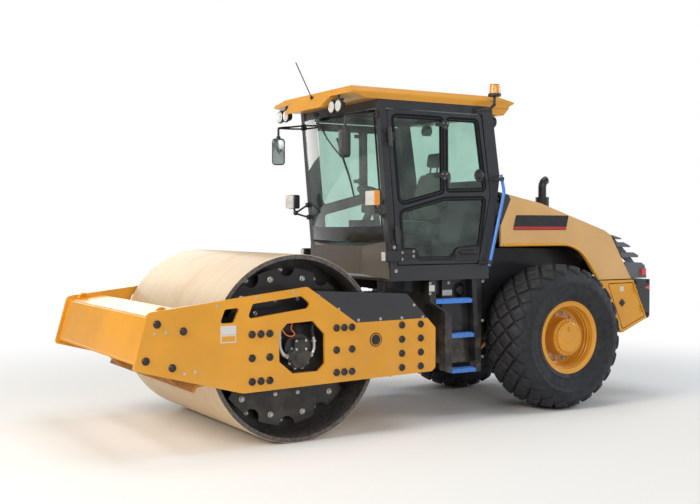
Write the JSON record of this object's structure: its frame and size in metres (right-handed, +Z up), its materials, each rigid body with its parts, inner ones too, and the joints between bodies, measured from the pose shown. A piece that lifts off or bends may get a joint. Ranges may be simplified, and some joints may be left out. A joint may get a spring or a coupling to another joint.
{
  "type": "single drum road roller",
  "caption": "Articulated soil roller with a smooth steel drum in a plate frame, a glazed cab over the swivel, and an engine hood above rubber drive wheels.",
  "frame": {"origin": "on the ground, under the middle of the machine's length and width", "axes": "+X forward, from the wheels to the drum; +Y to the machine's left; +Z up"},
  "size_m": [5.989, 2.3, 3.3961],
  "materials": {
    "yellow_paint": "gloss paint",
    "charcoal_paint": "satin paint",
    "black_paint": "satin paint",
    "blue_paint": "satin paint",
    "drum_steel": "worn bare steel",
    "cast_dark": "painted casting",
    "rod_chrome": "polished",
    "tyre_rubber": "matt rubber",
    "tinted_glass": "clear tinted",
    "black_plastic": "moulded",
    "seat_cover": "woven",
    "red_lens": "moulded lens",
    "amber_lens": "moulded lens"
  },
  "bodies": {
    "rear_frame": {"rear_frame": "black_paint", "rear_axle": "cast_dark", "engine_block": "cast_dark", "counterweight": "charcoal_paint", "tool_boxes": "yellow_paint", "side_tanks": "black_paint", "inner_panels": "black_paint", "cab_floor": "charcoal_paint", "cab_frame": "charcoal_paint", "cab_cowl": "charcoal_paint", "cab_roof": "yellow_paint", "cab_glass": "tinted_glass", "seat": "seat_cover", "steering_console": "black_plastic", "step_frames": "black_paint", "step_treads": "blue_paint", "handrails": "blue_paint", "mirrors": "black_plastic", "signal_lamps": "black_plastic", "work_lamps": "black_plastic", "beacon": "amber_lens", "aerial": "black_plastic"},
    "swivel": {"swivel_block": "cast_dark"},
    "drum_frame": {"side_plates": "yellow_paint", "front_beam": "yellow_paint", "rear_beam": "yellow_paint", "guard_panels": "charcoal_paint", "scrapers": "drum_steel", "drum_carriers": "black_paint"},
    "drum": {"drum_shell": "drum_steel", "drum_spiders": "drum_steel"},
    "hood": {"hood_shell": "yellow_paint", "tail_grille": "charcoal_paint", "tail_lamps": "red_lens", "exhaust_stack": "black_paint"},
    "door_left": {"door_left": "charcoal_paint", "door_left_glass": "tinted_glass"},
    "door_right": {"door_right": "charcoal_paint", "door_right_glass": "tinted_glass"},
    "lid_left": {"box_lid_left": "yellow_paint"},
    "lid_right": {"box_lid_right": "yellow_paint"},
    "wheel_left": {"rim_left": "yellow_paint", "tyre_left": "tyre_rubber"},
    "wheel_right": {"rim_right": "yellow_paint", "tyre_right": "tyre_rubber"},
    "ram_left": {"steer_barrel_left": "black_paint"},
    "ram_rod_left": {"steer_rod_left": "rod_chrome"},
    "ram_right": {"steer_barrel_right": "black_paint"},
    "ram_rod_right": {"steer_rod_right": "rod_chrome"}
  },
  "joints": [
    {"name": "steer", "type": "hinge", "parent": "rear_frame", "child": "swivel", "pos_m": [-0.0025, 0, 0.745], "axis": [0, 0, 1], "range_deg": [-33, 33]},
    {"name": "sway", "type": "hinge", "parent": "swivel", "child": "drum_frame", "pos_m": [0.4325, 0, 0.745], "axis": [-1, 0, 0], "range_deg": [-11, 11]},
    {"name": "drum_spin", "type": "hinge", "parent": "drum_frame", "child": "drum", "pos_m": [1.5325, 0, 0.8], "axis": [0, 1, 0], "continuous": true},
    {"name": "wheel_left_spin", "type": "hinge", "parent": "rear_frame", "child": "wheel_left", "pos_m": [-1.5375, 0.824, 0.728], "axis": [0, 1, 0], "continuous": true},
    {"name": "wheel_right_spin", "type": "hinge", "parent": "rear_frame", "child": "wheel_right", "pos_m": [-1.5375, -0.824, 0.728], "axis": [0, 1, 0], "continuous": true},
    {"name": "hood_lift", "type": "hinge", "parent": "rear_frame", "child": "hood", "pos_m": [-0.9675, 0, 2.105], "axis": [0, 1, 0], "range_deg": [0, 50]},
    {"name": "door_left_swing", "type": "hinge", "parent": "rear_frame", "child": "door_left", "pos_m": [0.3115, 0.785, 1.47], "axis": [-0.0901, 0, -0.9959], "range_deg": [0, 80]},
    {"name": "door_right_swing", "type": "hinge", "parent": "rear_frame", "child": "door_right", "pos_m": [0.3115, -0.785, 1.47], "axis": [0.0901, 0, 0.9959], "range_deg": [0, 80]},
    {"name": "lid_left_swing", "type": "hinge", "parent": "rear_frame", "child": "lid_left", "pos_m": [-2.9195, 0.761, 0.85], "axis": [0.4393, 0, 0.8983], "range_deg": [0, 100]},
    {"name": "lid_right_swing", "type": "hinge", "parent": "rear_frame", "child": "lid_right", "pos_m": [-2.9195, -0.761, 0.85], "axis": [-0.4393, 0, -0.8983], "range_deg": [0, 100]},
    {"name": "ram_left_swing", "type": "hinge", "parent": "rear_frame", "child": "ram_left", "pos_m": [-0.6225, 0.33, 0.745], "axis": [0, 0, 1], "range_deg": [-3, 3]},
    {"name": "ram_left_slide", "type": "slide", "parent": "ram_left", "child": "ram_rod_left", "axis": [0.9818, -0.19, 0], "range_m": [-0.115, 0.115]},
    {"name": "ram_right_swing", "type": "hinge", "parent": "rear_frame", "child": "ram_right", "pos_m": [-0.6225, -0.33, 0.745], "axis": [0, 0, 1], "range_deg": [-3, 3]},
    {"name": "ram_right_slide", "type": "slide", "parent": "ram_right", "child": "ram_rod_right", "axis": [0.9818, 0.19, 0], "range_m": [-0.115, 0.115]}
  ],
  "couplings": [
    {"joint": "ram_left_swing", "follows": "steer", "ratio": -0.0774},
    {"joint": "ram_left_slide", "follows": "steer", "m_per_rad": -0.1926},
    {"joint": "ram_right_swing", "follows": "steer", "ratio": -0.0774},
    {"joint": "ram_right_slide", "follows": "steer", "m_per_rad": 0.1926}
  ]
}
